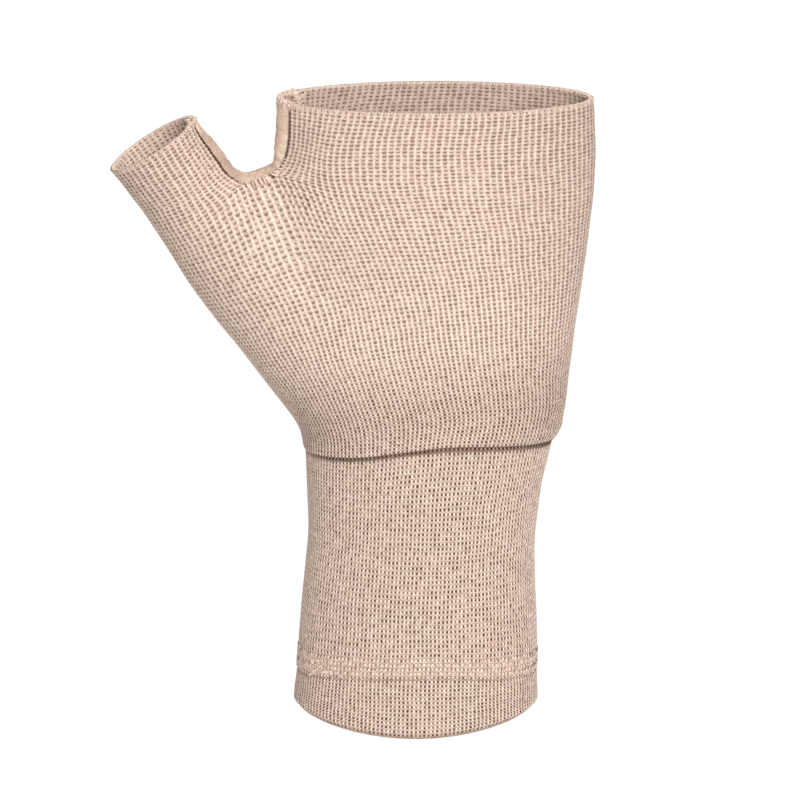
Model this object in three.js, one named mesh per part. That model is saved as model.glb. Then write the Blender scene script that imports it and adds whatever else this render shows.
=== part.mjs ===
// Elastic knitted wrist and thumb support sleeve, worn pose, millimetres.
// +Z runs from the forearm opening to the fingers, +Y to the back of the hand, and the thumb is on the -X side.
// Every knitted row ("course") is a closed curve round the arm that mirrors in Y, so half a row is enough:
// its points run from the thumb side (Y = 0), over the -Y side, to the little-finger side (Y = 0).
import * as THREE from 'three';
import { mergeVertices } from 'three/addons/utils/BufferGeometryUtils.js';

// ---- driving dimensions ----
const FABRIC = 1.3; // thickness of the knit
const HEM_FABRIC = 1.1; // thickness of the turned-in hem layer
const GAP = 0.3; // clearance between pieces that are sewn together
const THREAD = 0.9; // thickness of a seam thread

// stitch columns ("wales") from the thumb side to the little-finger side of half a row
const WALES = 76;
const THUMB_WALES = 20; // go round the thumb branch
const NOTCH_WALES = 24; // from here on they go round the hand

// rows of the wrist tube, counted from the hem fold, and of the hand piece, counted from its lower edge
const WRIST_ROWS = 62;
const LAP_ROWS = 3; // of the wrist tube that lie inside the hand piece
const HEM_LOWER_ROW = 14;
const HEM_UPPER_ROW = 19;
const WEB_ROW = 66; // bottom of the notch between thumb and hand
const TOP_ROW = 86;
const EDGE_ROWS = 1.2; // taken up by the chained edge at an opening
const GAP_ROWS = 0.3;

// where the fabric is cut into zones for the wrist and thumb joints
const LOWER_FLEX_ROWS = [22, 35];
const UPPER_FLEX_ROWS = [40, 53];
const THUMB_FLEX_ROWS = [67, 78];

const GUSSET_HALF_WIDTH = 7.2;
const TOP_HEIGHT = 176.5;
const HAND_TOP = { centre: 4.95, halfWidth: 43, halfDepth: 18 };
const THUMB_OUTER_TOP = [-83.3, 156.7];
const THUMB_INNER_TOP = [-60.3, 170.7];

// wrist tube by row: height at the thumb side, height at the far side, rise of the row between them,
// then the left and right edges of the tube and its half depth
const WRIST = [
  [0, 4.3, 4.3, -4.0, -34.0, 33.6, 23.2],
  [14, 13.6, 13.2, 3.7, -33.1, 33.3, 22.8],
  [19, 21.0, 20.0, 2.8, -32.6, 33.4, 22.6],
  [30, 38.0, 38.0, 0.6, -31.2, 32.7, 22.0],
  [40, 52.3, 52.3, 0.0, -29.8, 32.6, 21.6],
  [50, 64.8, 65.4, 1.0, -30.0, 34.2, 21.8],
  [62, 76.0, 79.5, 5.3, -30.5, 37.4, 22.3],
  [65, 79.4, 83.0, 5.0, -30.5, 38.0, 22.5],
];

// hand piece by row: its thumb-side edge (x, z), its little-finger edge (x, z), the rise of the row between
// them, and the angle at which the row leaves the thumb side
const HAND_EDGES = [
  [0, -32.4, 76.3, 39.9, 80.2, 5.0, 2],
  [17, -37.2, 90.7, 41.9, 100.5, 2.0, 18],
  [34, -48.1, 105.5, 44.6, 121.0, 0.0, 27],
  [50, -60.9, 122.5, 47.0, 139.0, 0.0, 31],
  [66, -71.3, 139.8, 48.8, 156.0, 0.0, 31],
  [86, -83.3, 156.7, 47.9, 176.5, 0.0, 31],
];

// hand piece by row: half length and half depth of the thumb's mound, start and half depth of the palm,
// then half depth, middle and half length of the bridge between the two
const HAND_DEPTHS = [
  [0, 26, 12.0, 0.0, 24.2, 10.0, 22, 22],
  [17, 26, 15.0, 2.0, 23.4, 14.5, 24, 24],
  [34, 22, 16.0, 11.0, 21.8, 15.5, 25, 24],
  [50, 17, 14.6, 24.0, 20.2, 12.5, 28, 20],
  [66, 14.3, 13.5, 31.5, 18.6, 7.2, 30, 16],
];
const NOTCH_FROM = 26.4; // length along the web row where the thumb branch ends
const NOTCH_TO = 35; // and where the hand tube starts
const EDGE_HEIGHT = 0.9; // of the chained edges, along the tube
const KNOT_RADIUS = 1.1;
const RIM_STEPS = 48;
const STRIP_STEPS = 18;
const LOBE_POWER = 6; // higher joins mound, bridge and palm more sharply

// middle line of the gusset strip (x, z), from the thumb opening round the notch to the hand opening
const GUSSET_MIDDLE = [
  [-59.4, 169.3], [-56.9, 166.6], [-53.6, 162.9], [-50.4, 159.2], [-47.0, 156.4],
  [-43.4, 155.5], [-40.8, 157.4], [-39.6, 160.8], [-39.0, 167.4], [-38.1, 175.1],
];

const FABRIC_COLOUR = 0xd6bca8;
const STRIP_COLOUR = 0xe3c7b0;
const THREAD_COLOUR = 0xc9ab94;

// ---- numbers along a row ----

// smooth values between the lines of a table whose first column is the row number
function track(table, row) {
  let i = 0;
  while (i < table.length - 2 && row > table[i + 1][0]) i += 1;
  const [a, b] = [table[i], table[i + 1]];
  const [before, after] = [table[Math.max(0, i - 1)], table[Math.min(table.length - 1, i + 2)]];
  const span = b[0] - a[0];
  const t = THREE.MathUtils.clamp((row - a[0]) / span, 0, 1);
  return a.slice(1).map((_, k) => {
    const c = k + 1;
    const slopeA = ((b[c] - before[c]) / (b[0] - before[0])) * span;
    const slopeB = ((after[c] - a[c]) / (after[0] - a[0])) * span;
    return hermite(a[c], b[c], slopeA, slopeB, t);
  });
}

function hermite(from, to, slopeFrom, slopeTo, t) {
  const s = t * t * (3 - 2 * t);
  return from + (to - from) * s + slopeFrom * t * (1 - t) ** 2 - slopeTo * t * t * (1 - t);
}

const mound = (x, middle, half, height) => height * Math.sqrt(Math.max(0, 1 - ((x - middle) / half) ** 2));

// points evenly spaced along a polyline, from one place to another
function along(points, from, to, steps) {
  const lengths = [0];
  for (let i = 1; i < points.length; i += 1) lengths.push(lengths[i - 1] + points[i].distanceTo(points[i - 1]));
  const spots = [];
  for (let j = 0, i = 1; j <= steps; j += 1) {
    const d = from + ((to - from) * j) / steps;
    while (i < points.length - 1 && lengths[i] < d) i += 1;
    const t = (d - lengths[i - 1]) / (lengths[i] - lengths[i - 1]);
    spots.push(points[i - 1].clone().lerp(points[i], THREE.MathUtils.clamp(t, 0, 1)));
  }
  return { spots, total: lengths.at(-1) };
}

// ---- half rows ----

const FINE = 200;

function wristHalfRow(row, steps) {
  const [zThumb, zFar, rise, left, right, depth] = track(WRIST, row);
  const points = [];
  for (let i = 0; i <= steps; i += 1) {
    const a = (Math.PI * i) / steps;
    const x = (left + right) / 2 - ((right - left) / 2) * Math.cos(a);
    const z = zThumb + ((zFar - zThumb) * i) / steps + rise * Math.sin(a) ** 2;
    points.push(new THREE.Vector3(x, -depth * Math.sin(a), z));
  }
  return points;
}

// a whole row of the hand piece below the notch, as half a row of fine points
function handFineRow(row) {
  const [xThumb, zThumb, xFar, zFar, rise, angle] = track(HAND_EDGES, row);
  const [moundHalf, moundDepth, palmFrom, palmDepth, bridge, bridgeAt, bridgeHalf] = track(HAND_DEPTHS, row);
  const length = Math.hypot(xFar - xThumb, zFar - zThumb);
  const lean = THREE.MathUtils.degToRad(angle);
  const curve = new THREE.CubicBezierCurve(
    new THREE.Vector2(xThumb, zThumb),
    new THREE.Vector2(xThumb + 0.3 * length * Math.cos(lean), zThumb + 0.3 * length * Math.sin(lean)),
    new THREE.Vector2(xFar - 0.4 * length, zFar),
    new THREE.Vector2(xFar, zFar),
  );
  const flat = curve.getSpacedPoints(FINE);
  const total = curve.getLength();
  return flat.map((p, i) => {
    const x = (total * (1 - Math.cos((Math.PI * i) / FINE))) / 2;
    const q = curve.getPointAt(x / total);
    const thumb = mound(x, moundHalf, moundHalf, moundDepth);
    const palm = mound(x, (palmFrom + total) / 2, (total - palmFrom) / 2, palmDepth);
    const web = mound(x, bridgeAt, bridgeHalf, bridge);
    const depth = (thumb ** LOBE_POWER + palm ** LOBE_POWER + web ** LOBE_POWER) ** (1 / LOBE_POWER);
    const point = new THREE.Vector3(q.x, -depth, q.y + rise * Math.min(1, depth / palmDepth) ** 2);
    point.along = x;
    return point;
  });
}

// the two places on a half row where the thumb's wales end and where the hand's wales start
function notchPlaces(points, row) {
  const lengths = [0];
  for (let i = 1; i < points.length; i += 1) lengths.push(lengths[i - 1] + points[i].distanceTo(points[i - 1]));
  const total = lengths.at(-1);
  const at = (x) => lengths[points.findIndex((p) => p.along >= x)];
  const share = THREE.MathUtils.smoothstep(row, 25, WEB_ROW);
  const thumbEnd = THREE.MathUtils.lerp((total * THUMB_WALES) / WALES, at(NOTCH_FROM), share);
  const handStart = THREE.MathUtils.lerp((total * NOTCH_WALES) / WALES, at(NOTCH_TO), share);
  return [0, thumbEnd, handStart, total];
}

const SPANS = { thumb: 0, notch: 1, hand: 2 };
const STEPS = { thumb: 8, notch: 2, hand: 14 };

function handHalfRow(row, part) {
  const points = handFineRow(row);
  const places = notchPlaces(points, row);
  return along(points, places[SPANS[part]], places[SPANS[part] + 1], STEPS[part]).spots;
}

// the rim of a branch: half an ellipse less the strip's half width
function topHalfRow(part) {
  const points = [];
  const thumb = part === 'thumb';
  const [ox, oz] = THUMB_OUTER_TOP;
  const [ix, iz] = THUMB_INNER_TOP;
  const radius = Math.hypot(ix - ox, iz - oz) / 2;
  const depth = thumb ? radius : HAND_TOP.halfDepth;
  const skip = Math.asin(GUSSET_HALF_WIDTH / depth);
  const start = thumb ? 0 : skip;
  const end = thumb ? Math.PI - skip : Math.PI;
  for (let i = 0; i <= FINE; i += 1) {
    const a = start + ((end - start) * i) / FINE;
    const t = (1 - Math.cos(a)) / 2;
    const x = thumb ? ox + (ix - ox) * t : HAND_TOP.centre - HAND_TOP.halfWidth * Math.cos(a);
    const z = thumb ? oz + (iz - oz) * t : TOP_HEIGHT;
    points.push(new THREE.Vector3(x, -depth * Math.sin(a), z));
  }
  return along(points, 0, along(points, 0, 1, 1).total, STEPS[part]).spots;
}

// a row of a branch above the notch: it leaves the web row smoothly and ends in the branch's rim
function branchHalfRow(row, part) {
  const low = handHalfRow(WEB_ROW, part);
  const before = handHalfRow(WEB_ROW - 1, part);
  const top = topHalfRow(part);
  const rows = TOP_ROW - WEB_ROW;
  const t = (row - WEB_ROW) / rows;
  return low.map((p, i) => {
    const point = new THREE.Vector3();
    for (const c of ['x', 'y', 'z']) {
      const rise = top[i][c] - p[c];
      const leaving = c === 'y' ? rise : (p[c] - before[i][c]) * rows;
      point[c] = hermite(p[c], top[i][c], leaving, rise, t);
    }
    return point;
  });
}

// ---- closed solids from rows ----

const mirrored = (p) => new THREE.Vector3(p.x, -p.y, p.z);
// a ring from half a row: over the back and along the front
const ring = (half) => [...half, ...half.slice(1, -1).reverse().map(mirrored)];
// the thumb's open row runs from its back edge round the outside to its front edge, and the hand's from its
// front edge round the far side to its back edge
const thumbOpen = (half) => [...half.slice(1).reverse().map(mirrored), ...half];
const handOpen = (half) => [...half, ...half.slice(0, -1).reverse().map(mirrored)];

function steppedRows([from, to], steps) {
  return Array.from({ length: steps + 1 }, (_, i) => from + ((to - from) * i) / steps);
}

// triangles of a patch of rows, facing out where rows rise and their points run thumb side, front, far side
function patch(rows, closed) {
  const triangles = [];
  const columns = closed ? rows[0].length : rows[0].length - 1;
  for (let j = 0; j < rows.length - 1; j += 1) {
    for (let i = 0; i < columns; i += 1) {
      const k = (i + 1) % rows[j].length;
      const [a, b, c, d] = [rows[j][i], rows[j][k], rows[j + 1][k], rows[j + 1][i]];
      triangles.push([a, b, c], [a, c, d]);
    }
  }
  return triangles;
}

// a closed solid of cloth: the given outer surface, the same surface moved inwards, and walls along open edges
function cloth(triangles, thickness, inset = 0) {
  const flat = triangles.flat().flatMap((p) => p.toArray());
  const skin = new THREE.BufferGeometry();
  skin.setAttribute('position', new THREE.Float32BufferAttribute(flat, 3));
  const merged = mergeVertices(skin, 1e-3);
  merged.computeVertexNormals();
  const { position, normal } = merged.attributes;
  const index = merged.index.array;
  const count = position.count;
  const vertices = [];
  for (const depth of [inset, inset + thickness]) {
    for (let i = 0; i < count; i += 1) {
      vertices.push(position.getX(i) - normal.getX(i) * depth);
      vertices.push(position.getY(i) - normal.getY(i) * depth);
      vertices.push(position.getZ(i) - normal.getZ(i) * depth);
    }
  }
  const faces = [];
  const edges = new Set();
  for (let i = 0; i < index.length; i += 3) {
    const [a, b, c] = [index[i], index[i + 1], index[i + 2]];
    faces.push(a, b, c, a + count, c + count, b + count);
    for (const [p, q] of [[a, b], [b, c], [c, a]]) edges.add(`${p},${q}`);
  }
  for (const edge of edges) {
    const [p, q] = edge.split(',').map(Number);
    if (!edges.has(`${q},${p}`)) faces.push(q, p, p + count, q, p + count, q + count);
  }
  const solid = new THREE.BufferGeometry();
  solid.setAttribute('position', new THREE.Float32BufferAttribute(vertices, 3));
  solid.setIndex(faces);
  return solid;
}

// a closed loop or an open length of thread with a four-sided section, wide along the cloth and thin off it
function thread(points, outward, closed, wide = THREAD, thin = THREAD, lift = GAP) {
  const sections = points.map((p, i) => {
    const last = points.length - 1;
    const before = points[closed ? (i + last) % points.length : Math.max(0, i - 1)];
    const after = points[closed ? (i + 1) % points.length : Math.min(last, i + 1)];
    const ahead = after.clone().sub(before).normalize();
    const out = outward[i].clone().addScaledVector(ahead, -outward[i].dot(ahead)).normalize();
    const side = out.clone().cross(ahead);
    const corner = (s, o) => p.clone().addScaledVector(side, (s * wide) / 2).addScaledVector(out, o);
    return [corner(-1, lift), corner(1, lift), corner(1, lift + thin), corner(-1, lift + thin)];
  });
  const vertices = sections.flat().flatMap((p) => p.toArray());
  const faces = [];
  const loops = closed ? sections.length : sections.length - 1;
  for (let j = 0; j < loops; j += 1) {
    for (let i = 0; i < 4; i += 1) {
      const [a, b] = [j * 4 + i, j * 4 + ((i + 1) % 4)];
      const [d, c] = [((j + 1) % sections.length) * 4 + i, ((j + 1) % sections.length) * 4 + ((i + 1) % 4)];
      faces.push(a, b, c, a, c, d);
    }
  }
  if (!closed) {
    const e = loops * 4;
    faces.push(0, 2, 1, 0, 3, 2, e, e + 1, e + 2, e, e + 2, e + 3);
  }
  const solid = new THREE.BufferGeometry();
  solid.setAttribute('position', new THREE.Float32BufferAttribute(vertices, 3));
  solid.setIndex(faces);
  return solid;
}

// ---- the model ----

const sleeve = new THREE.Group();

function add(name, geometry, color) {
  const material = new THREE.MeshStandardMaterial({ color, roughness: 0.92, metalness: 0 });
  const mesh = new THREE.Mesh(geometry, material);
  mesh.name = name;
  sleeve.add(mesh);
}

// outward directions of a closed ring of points round the arm
function ringNormals(points) {
  const middle = points.reduce((s, p) => s.add(p), new THREE.Vector3()).divideScalar(points.length);
  return points.map((p, i) => {
    const ahead = points[(i + 1) % points.length].clone().sub(points[(i + points.length - 1) % points.length]);
    const out = ahead.cross(new THREE.Vector3(0, 0, 1)).setZ(0).normalize();
    return out.dot(p.clone().sub(middle)) < 0 ? out.negate() : out;
  });
}

const RING_STEPS = 20;
const wristRing = (row, steps = RING_STEPS) => ring(wristHalfRow(row, steps));

// the wrist tube, in the zones that the wrist joints need
const lapEnd = WRIST_ROWS + LAP_ROWS;
const wristZones = {
  wrist_tube_cuff: [[0, LOWER_FLEX_ROWS[0] - GAP_ROWS], 7],
  wrist_tube_lower_flex: [LOWER_FLEX_ROWS, 3],
  wrist_tube_middle: [[LOWER_FLEX_ROWS[1] + GAP_ROWS, UPPER_FLEX_ROWS[0] - GAP_ROWS], 1],
  wrist_tube_upper_flex: [UPPER_FLEX_ROWS, 3],
  wrist_tube_top: [[UPPER_FLEX_ROWS[1] + GAP_ROWS, lapEnd], 3],
};
for (const [name, [rows, steps]] of Object.entries(wristZones)) {
  const rings = steppedRows(rows, steps).map((row) => wristRing(row));
  add(name, cloth(patch(rings, true), FABRIC), FABRIC_COLOUR);
}

// the hem layer, turned in behind the cuff
const hemRings = steppedRows([1, HEM_UPPER_ROW + 1], 5).map((row) => wristRing(row));
add('hem_band', cloth(patch(hemRings, true), HEM_FABRIC, FABRIC + GAP), FABRIC_COLOUR);

// the hem's cover stitch: two needle lines and the looper thread that zig-zags between them
for (const [name, row] of [['hem_lower_stitch', HEM_LOWER_ROW], ['hem_upper_stitch', HEM_UPPER_ROW]]) {
  const points = wristRing(row);
  add(name, thread(points, ringNormals(points), true, THREAD, THREAD * 0.6), THREAD_COLOUR);
}
const ZIGZAGS = 40;
const loopLow = wristRing(HEM_LOWER_ROW + 1.1, ZIGZAGS);
const loopHigh = wristRing(HEM_UPPER_ROW - 1.1, ZIGZAGS);
const looper = loopLow.map((p, i) => (i % 2 ? p : loopHigh[i]));
add('hem_looper_thread', thread(looper, ringNormals(loopLow), true, THREAD * 0.6, THREAD * 0.6), THREAD_COLOUR);

// where the cover stitch ends in a short tack
const tackRing = wristRing(HEM_LOWER_ROW, ZIGZAGS * 2);
const tackPoints = tackRing.slice(10, 14).map((p) => p.clone().setZ(p.z - 1.8));
add('hem_tack', thread(tackPoints, ringNormals(tackRing).slice(10, 14), false, 1.6, 0.7, 2 * GAP), STRIP_COLOUR);

// the hand piece with the root of its thumb branch
const bodyRows = steppedRows([0, WEB_ROW], 9);
const wholeHalf = (row) => [
  ...handHalfRow(row, 'thumb'),
  ...handHalfRow(row, 'notch').slice(1),
  ...handHalfRow(row, 'hand').slice(1),
];
const bodyRings = bodyRows.map((row) => ring(wholeHalf(row)));
const handTubeRows = steppedRows([WEB_ROW, TOP_ROW - EDGE_ROWS], 4).map((row) => handOpen(branchHalfRow(row, 'hand')));
const thumbBranch = ([from, to], steps) =>
  steppedRows([from, to], steps).map((row) => thumbOpen(branchHalfRow(row, 'thumb')));
const thumbRootRows = thumbBranch([WEB_ROW, THUMB_FLEX_ROWS[0] - GAP_ROWS], 1);
add('hand_sleeve', cloth([
  ...patch(bodyRings, true),
  ...patch(handTubeRows, false),
  ...patch(thumbRootRows, false),
], FABRIC), FABRIC_COLOUR);
add('thumb_sleeve_flex', cloth(patch(thumbBranch(THUMB_FLEX_ROWS, 3), false), FABRIC), FABRIC_COLOUR);
const thumbTubeRows = thumbBranch([THUMB_FLEX_ROWS[1] + GAP_ROWS, TOP_ROW - EDGE_ROWS], 2);
add('thumb_sleeve', cloth(patch(thumbTubeRows, false), FABRIC), FABRIC_COLOUR);

// the chained edges of the two openings, flat on top
function openingEdge(rim, up) {
  return thread(rim, rim.map(() => up), true, FABRIC, EDGE_HEIGHT, -EDGE_HEIGHT);
}
const wallMiddle = FABRIC / 2;
const handRim = Array.from({ length: RIM_STEPS }, (_, i) => {
  const a = (2 * Math.PI * i) / RIM_STEPS;
  const x = HAND_TOP.centre - (HAND_TOP.halfWidth - wallMiddle) * Math.cos(a);
  return new THREE.Vector3(x, -(HAND_TOP.halfDepth - wallMiddle) * Math.sin(a), TOP_HEIGHT);
});
add('hand_opening_edge', openingEdge(handRim, new THREE.Vector3(0, 0, 1)), THREAD_COLOUR);

const thumbOuter = new THREE.Vector3(THUMB_OUTER_TOP[0], 0, THUMB_OUTER_TOP[1]);
const thumbInner = new THREE.Vector3(THUMB_INNER_TOP[0], 0, THUMB_INNER_TOP[1]);
const thumbMiddle = thumbOuter.clone().add(thumbInner).divideScalar(2);
const thumbAcross = thumbInner.clone().sub(thumbOuter).normalize();
const thumbUp = new THREE.Vector3(-thumbAcross.z, 0, thumbAcross.x);
const thumbRimRadius = thumbOuter.distanceTo(thumbInner) / 2 - wallMiddle;
const thumbRim = Array.from({ length: RIM_STEPS }, (_, i) => {
  const a = (2 * Math.PI * i) / RIM_STEPS;
  const point = thumbMiddle.clone().addScaledVector(thumbAcross, -thumbRimRadius * Math.cos(a));
  return point.setY(-thumbRimRadius * Math.sin(a));
});
add('thumb_opening_edge', openingEdge(thumbRim, thumbUp), THREAD_COLOUR);

// the gusset strip closes the notch from the thumb opening, round the web, to the hand opening
const branchRows = steppedRows([WEB_ROW, TOP_ROW - EDGE_ROWS], 8);
const notchEdge = [
  ...branchRows.map((row) => branchHalfRow(row, 'thumb').at(-1)).reverse(),
  ...handHalfRow(WEB_ROW, 'notch').slice(1, -1),
  ...branchRows.map((row) => branchHalfRow(row, 'hand')[0]),
];
const notchLength = along(notchEdge, 0, 1, 1).total;
const stripEdge = along(notchEdge, 0, notchLength, STRIP_STEPS).spots;
const stripCurve = new THREE.CatmullRomCurve3(GUSSET_MIDDLE.map(([x, z]) => new THREE.Vector3(x, 0, z)));
const stripMiddle = stripCurve.getSpacedPoints(STRIP_STEPS);
const stripRow = (i) => [-1, -0.5, 0, 0.5, 1].map((s) => {
  const point = stripEdge[i].clone().lerp(stripMiddle[i], 1 - s * s);
  return point.setY(s * (GUSSET_HALF_WIDTH - 1.6));
});
const strip = stripEdge.map((_, i) => stripRow(i));
add('web_gusset', cloth(patch(strip, false), FABRIC), STRIP_COLOUR);

// its two seams, front and back, with a knot at each end
const knotTrim = 2.4;
for (const [side, sign] of [['front', 1], ['back', -1]]) {
  const toSide = (p) => new THREE.Vector3(p.x, p.y * sign, p.z);
  const outwards = stripEdge.map((p, i) => {
    const inNotch = stripMiddle[i].clone().sub(p).setY(0).normalize();
    return toSide(inNotch.setY(-1).normalize());
  });
  const path = along(notchEdge, knotTrim, notchLength - knotTrim, STRIP_STEPS).spots.map(toSide);
  add(`gusset_${side}_seam`, thread(path, outwards, false, THREAD, THREAD, 2.5 * GAP), THREAD_COLOUR);
  for (const [name, at] of [['thumb', 0], ['hand', STRIP_STEPS]]) {
    const knot = mergeVertices(new THREE.SphereGeometry(KNOT_RADIUS, 8, 6).deleteAttribute('normal')
      .deleteAttribute('uv'));
    const place = toSide(stripEdge[at]).addScaledVector(outwards[at], KNOT_RADIUS + 2 * GAP);
    knot.translate(place.x, place.y, place.z);
    add(`${name}_${side}_knot`, knot, THREAD_COLOUR);
  }
}

// the thread that joins the hand piece to the wrist tube, under the hand piece's lower edge
const lapRing = wristRing(WRIST_ROWS - 0.6, RING_STEPS * 2);
add('lap_seam_thread', thread(lapRing, ringNormals(lapRing), true, THREAD, THREAD * 0.8), THREAD_COLOUR);

export default sleeve;
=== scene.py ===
"""Elastic knitted wrist and thumb support sleeve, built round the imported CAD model.

Lengths are millimetres and become metres when a mesh is made (MM), but the studio at the end is in metres.
A place on the cloth is given in stitches: its column u ("wale"), 0 to 2 * WALES once round from the thumb
side over the front, and its row v ("course") upward. The back mirrors the front.
"""
import math

import bpy
import numpy as np
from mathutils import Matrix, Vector


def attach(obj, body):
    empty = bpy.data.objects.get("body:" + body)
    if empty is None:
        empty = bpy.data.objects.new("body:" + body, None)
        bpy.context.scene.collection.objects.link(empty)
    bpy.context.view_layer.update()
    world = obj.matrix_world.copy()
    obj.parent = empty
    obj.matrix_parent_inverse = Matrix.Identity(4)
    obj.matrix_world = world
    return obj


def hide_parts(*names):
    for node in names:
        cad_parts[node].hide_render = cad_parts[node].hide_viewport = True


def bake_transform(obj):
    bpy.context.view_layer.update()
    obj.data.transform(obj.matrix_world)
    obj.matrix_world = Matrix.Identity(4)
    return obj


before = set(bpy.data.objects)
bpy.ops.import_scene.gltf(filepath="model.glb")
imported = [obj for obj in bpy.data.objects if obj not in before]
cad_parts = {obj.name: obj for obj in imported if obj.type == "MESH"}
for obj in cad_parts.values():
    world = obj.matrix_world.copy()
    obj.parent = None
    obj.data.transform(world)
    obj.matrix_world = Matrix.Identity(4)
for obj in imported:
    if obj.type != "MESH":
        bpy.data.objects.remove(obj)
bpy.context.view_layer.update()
scene = bpy.context.scene

MM = 0.001

# ---- stitch counts and sizes: the CAD model's, with the notch and the wrist seam refined ----
WALES = 76  # columns in half a row, from the thumb side to the little-finger side
THUMB_WALES = 20
NOTCH_WALES = 24
WRIST_ROWS = 62
LAP_ROWS = 3  # of the wrist tube that reach up under the hand piece
HEM_LOWER_ROW = 14
HEM_UPPER_ROW = 19
WEB_ROW = 66  # of the hand piece, where thumb and hand part
TOP_ROW = 86
FABRIC = 1.3  # thickness of the cloth
WRIST_STRETCH = 0.05  # how far the knit is pulled open at the wrist, 0 to 1
GUSSET_HALF_WIDTH = 7.2  # of the strip at the hand opening
TOP_HEIGHT = 176.5
HAND_TOP = (4.95, 43.0, 18.0)  # centre, half width and half depth of the hand opening
THUMB_OUTER_TOP = np.array([-83.3, 156.7])
THUMB_INNER_TOP = np.array([-60.3, 170.7])
NOTCH_FROM, NOTCH_TO = 26.4, 35.0  # where the notch starts and ends along the web row, seen from the front
LOBE_POWER = 6  # how sharply the mounds of thumb, web and palm meet

# row, height at the thumb side and far side, rise between them, left edge, right edge, half depth
WRIST = np.array([
    [0, 4.3, 4.3, -4.0, -34.0, 33.6, 23.2],
    [14, 13.6, 13.2, 3.7, -33.1, 33.3, 22.8],
    [19, 21.0, 20.0, 2.8, -32.6, 33.4, 22.6],
    [30, 38.0, 38.0, 0.6, -31.2, 32.7, 22.0],
    [40, 52.3, 52.3, 0.0, -29.8, 32.6, 21.6],
    [50, 64.8, 65.4, 1.0, -30.0, 34.2, 21.8],
    [62, 76.0, 79.5, 5.3, -30.5, 37.4, 22.3],
    [65, 79.4, 83.0, 5.0, -30.5, 38.0, 22.5],
])
# angle round the wrist from the thumb side, and how far the seam wanders up there
SEAM_WANDER = np.array([
    [0.0, 1.4], [0.5, 0.3], [1.0, -0.9], [1.35, -0.3], [1.7, 0.7], [2.1, 0.9], [2.6, 1.3], [3.15, 1.3],
])
# row, thumb-side edge x, z, little-finger edge x, z, rise between them, angle at the thumb side
HAND_EDGES = np.array([
    [0, -31.2, 76.3, 39.9, 80.2, 5.0, 2],
    [8, -32.3, 83.2, 40.9, 89.8, 3.7, 8],
    [17, -37.2, 90.7, 41.9, 100.5, 2.0, 18],
    [34, -48.1, 105.5, 44.6, 121.0, 0.0, 27],
    [50, -60.9, 122.5, 47.0, 139.0, 0.0, 31],
    [66, -71.3, 139.8, 48.8, 156.0, 0.0, 31],
    [86, -83.3, 156.7, 47.9, 176.5, 0.0, 31],
])
# row, thumb mound half length and depth, palm start and depth, bridge depth, middle and half length
HAND_DEPTHS = np.array([
    [0, 26, 12.0, 0.0, 24.2, 10.0, 22, 22],
    [17, 26, 15.0, 2.0, 23.4, 14.5, 24, 24],
    [34, 22, 16.0, 11.0, 21.8, 15.5, 25, 24],
    [50, 17, 14.6, 24.0, 20.2, 12.5, 28, 20],
    [66, 14.3, 13.5, 31.5, 18.6, 7.2, 30, 16],
])
# the notch's edge from the thumb opening, round the web, to the hand opening: x, z, the strip's half width
# and how far the strip bulges into the notch
NOTCH = np.array([
    [-60.7, 170.4, 3.5, 0.6],
    [-59.2, 166.9, 4.0, 1.3],
    [-57.1, 164.0, 4.6, 1.7],
    [-54.2, 160.0, 5.3, 1.9],
    [-52.3, 157.2, 5.7, 1.8],
    [-50.0, 155.3, 6.0, 1.0],
    [-46.9, 153.8, 6.2, 0.3],
    [-42.7, 154.9, 6.4, 0.3],
    [-39.9, 156.2, 6.5, 0.8],
    [-37.2, 158.3, 6.7, 2.2],
    [-35.7, 161.4, 6.9, 3.4],
    [-34.8, 165.7, 7.1, 3.8],
    [-34.5, 170.2, 7.2, 3.8],
    [-34.46, 176.5, 7.2, 3.6],
])
NOTCH_WEB = (22.4, 30.2)  # lengths along that edge between which it follows the web row
THUMB_CORNER = 3.5  # half width of the strip at the thumb opening

FINE = 4  # mesh steps per stitch on the outside; the inside has half as many
ROUND = 2 * WALES * FINE  # mesh columns once round
THUMB_END, HAND_START = THUMB_WALES * FINE, NOTCH_WALES * FINE  # mesh columns beside the notch
WEB, TOP = WEB_ROW * FINE, TOP_ROW * FINE  # mesh rows of the hand piece
SAMPLES = 240  # steps of the fine half rows that the mesh columns are measured along
ASLANT = np.array([0.31, 0.87, 0.38])  # a direction that no thread runs in

# ---- where the wrist tube splits in two, and thumb bend places that are worked out but not used ----
THUMB_BEND = (137.0, 150.0)  # distances along THUMB_WAY
THUMB_WAY = np.array([-0.8, 0.0, 0.6])
WRIST_SPLIT_ROW = 37  # where the wrist tube's two pieces meet


# ---- numbers ----

def hermite(start, end, slope_start, slope_end, t):
    """The smooth way from start to end that leaves and arrives with the given slopes."""
    s = t * t * (3 - 2 * t)
    return start + (end - start) * s + slope_start * t * (1 - t) ** 2 - slope_end * t * t * (1 - t)


def track(table, row):
    """Smooth values between the lines of a table whose first column is the row number."""
    i = int(np.clip(np.searchsorted(table[:, 0], row, side="left") - 1, 0, len(table) - 2))
    a, b = table[i], table[i + 1]
    before, after = table[max(0, i - 1)], table[min(len(table) - 1, i + 2)]
    span = b[0] - a[0]
    t = min(1.0, max(0.0, (row - a[0]) / span))
    slope_a = (b - before)[1:] / (b[0] - before[0]) * span
    slope_b = (after - a)[1:] / (after[0] - a[0]) * span
    return hermite(a[1:], b[1:], slope_a, slope_b, t)


def smoothstep(x, low, high):
    t = np.clip((x - low) / (high - low), 0, 1)
    return t * t * (3 - 2 * t)


def bell(x, middle, width):
    return np.exp(-((x - middle) / width) ** 2)


def mound(x, middle, half, height):
    return height * np.sqrt(np.maximum(0, 1 - ((x - middle) / half) ** 2))


def lengths_along(points):
    return np.concatenate([[0], np.cumsum(np.linalg.norm(np.diff(points, axis=0), axis=1))])


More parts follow.
